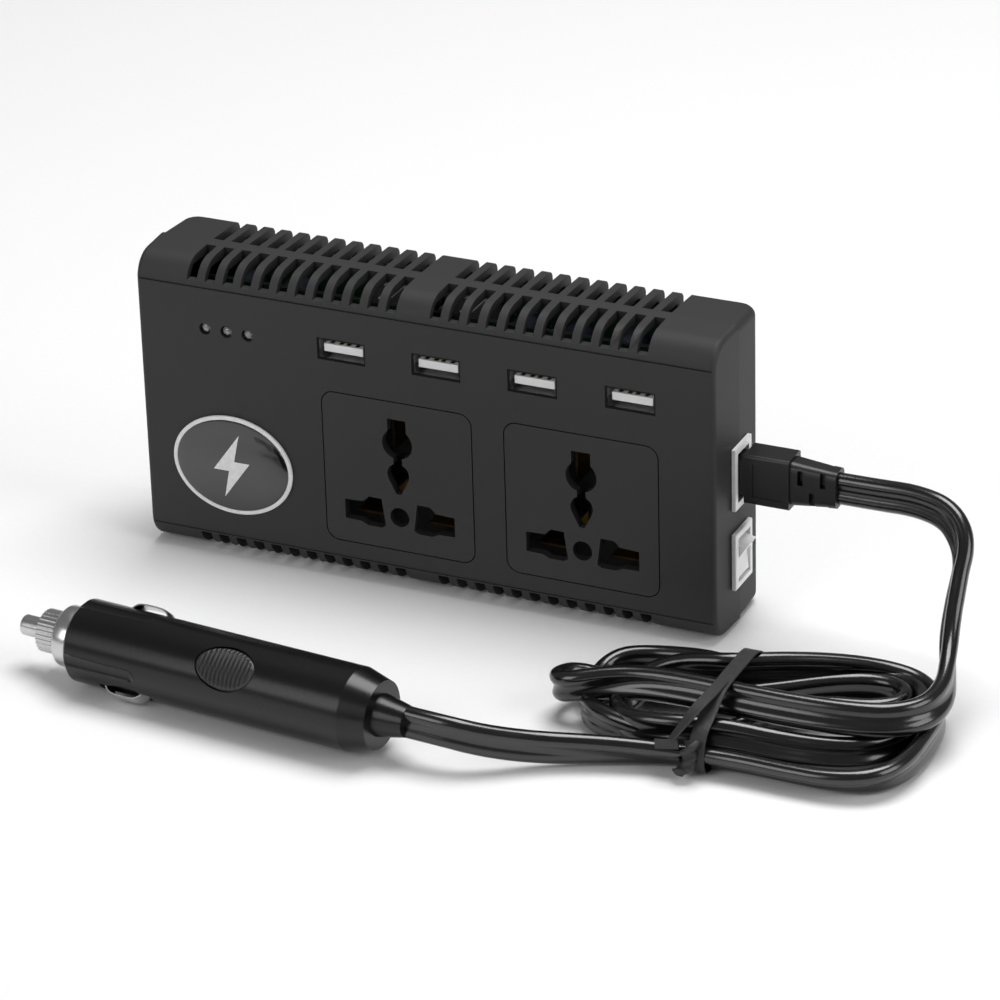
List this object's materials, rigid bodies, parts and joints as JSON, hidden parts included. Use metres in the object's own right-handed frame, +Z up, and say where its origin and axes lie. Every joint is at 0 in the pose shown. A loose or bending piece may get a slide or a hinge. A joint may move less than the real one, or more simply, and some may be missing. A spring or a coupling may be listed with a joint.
{
  "type": "power inverter",
  "caption": "Slim vented power inverter with universal mains sockets and USB ports on its front, a side switch, and a tied flat cord to a car plug.",
  "frame": {"origin": "middle of the flat base, on the plane where the two case shells meet", "axes": "+X along the case towards the inlet and switch, front panel faces -Y, +Z up"},
  "size_m": [0.2312, 0.1201, 0.0815],
  "materials": {
    "case_plastic": "fine matt moulded",
    "socket_plastic": "fine matt moulded",
    "badge_black": "domed high gloss",
    "badge_white": "gloss",
    "white_plastic": "semi gloss moulded",
    "port_steel": "bright plated",
    "contact_brass": "satin",
    "led_clear": "clear",
    "circuit_board": "satin",
    "ferrite": "matt",
    "winding_tape": "satin tape",
    "capacitor_sleeve": "gloss",
    "aluminium": "extruded",
    "package_black": "matt",
    "screw_steel": "blackened",
    "connector_plastic": "satin moulded",
    "cord_sheath": "gloss",
    "tie_paper": "matt",
    "plug_plastic": "semi gloss",
    "grip_pad": "ribbed",
    "plating": "nickel plated",
    "fuse_glass": "clear",
    "spring_steel": "bright"
  },
  "bodies": {
    "case": {"front_shell": "case_plastic", "rear_shell": "case_plastic", "case_screws": "screw_steel", "badge_rim": "badge_white", "badge_plate": "badge_black", "badge_emblem": "badge_white", "inlet_housing": "white_plastic", "inlet_pins": "contact_brass", "switch_bezel": "white_plastic", "switch_terminals": "contact_brass", "front_board": "circuit_board", "main_board": "circuit_board", "transformer_core": "ferrite", "transformer_winding": "winding_tape", "capacitors": "capacitor_sleeve", "heat_sink": "aluminium", "power_transistors": "package_black", "usb_contacts": "contact_brass", "socket_face_left": "socket_plastic", "socket_contacts_left": "contact_brass", "socket_base_left": "socket_plastic", "socket_face_right": "socket_plastic", "socket_contacts_right": "contact_brass", "socket_base_right": "socket_plastic", "usb_shell_1": "port_steel", "usb_tongue_1": "white_plastic", "usb_shell_2": "port_steel", "usb_tongue_2": "white_plastic", "usb_shell_3": "port_steel", "usb_tongue_3": "white_plastic", "usb_shell_4": "port_steel", "usb_tongue_4": "white_plastic", "status_led_1": "led_clear", "status_led_2": "led_clear", "status_led_3": "led_clear"},
    "rocker": {"switch_rocker": "white_plastic"},
    "lead": {"connector_body": "connector_plastic", "connector_contacts": "contact_brass", "connector_strain_relief": "connector_plastic", "cord_drop": "cord_sheath", "cord_hank": "cord_sheath", "cord_tail": "cord_sheath", "twist_tie": "tie_paper", "plug_body": "plug_plastic", "plug_grips": "grip_pad", "plug_rear_cap": "plug_plastic", "plug_strain_relief": "plug_plastic", "plug_collar": "plating", "plug_fuse_nut": "plating"},
    "plug_tip_set": {"plug_tip": "plating", "plug_fuse": "fuse_glass", "plug_spring": "spring_steel"},
    "contact_upper": {"side_contact_upper": "plating"},
    "contact_lower": {"side_contact_lower": "plating"}
  },
  "joints": [
    {"name": "switch", "type": "hinge", "parent": "case", "child": "rocker", "pos_m": [0.0784, 0, 0.0189], "axis": [0, 1, 0], "range_deg": [-26, 0]},
    {"name": "lead_pull", "type": "slide", "parent": "case", "child": "lead", "axis": [1, 0, 0], "range_m": [0, 0.012]},
    {"name": "tip_press", "type": "slide", "parent": "lead", "child": "plug_tip_set", "axis": [0.9962, -0.0872, 0], "range_m": [0, 0.003], "stiffness_N_per_m": 1200, "springref_m": -0.002},
    {"name": "upper_contact_press", "type": "slide", "parent": "lead", "child": "contact_upper", "axis": [-0.0583, -0.6666, -0.7431], "range_m": [0, 0.0012], "stiffness_N_per_m": 1200, "springref_m": -0.001},
    {"name": "lower_contact_press", "type": "slide", "parent": "lead", "child": "contact_lower", "axis": [0.0583, 0.6666, 0.7431], "range_m": [0, 0.0012], "stiffness_N_per_m": 1200, "springref_m": -0.001}
  ]
}
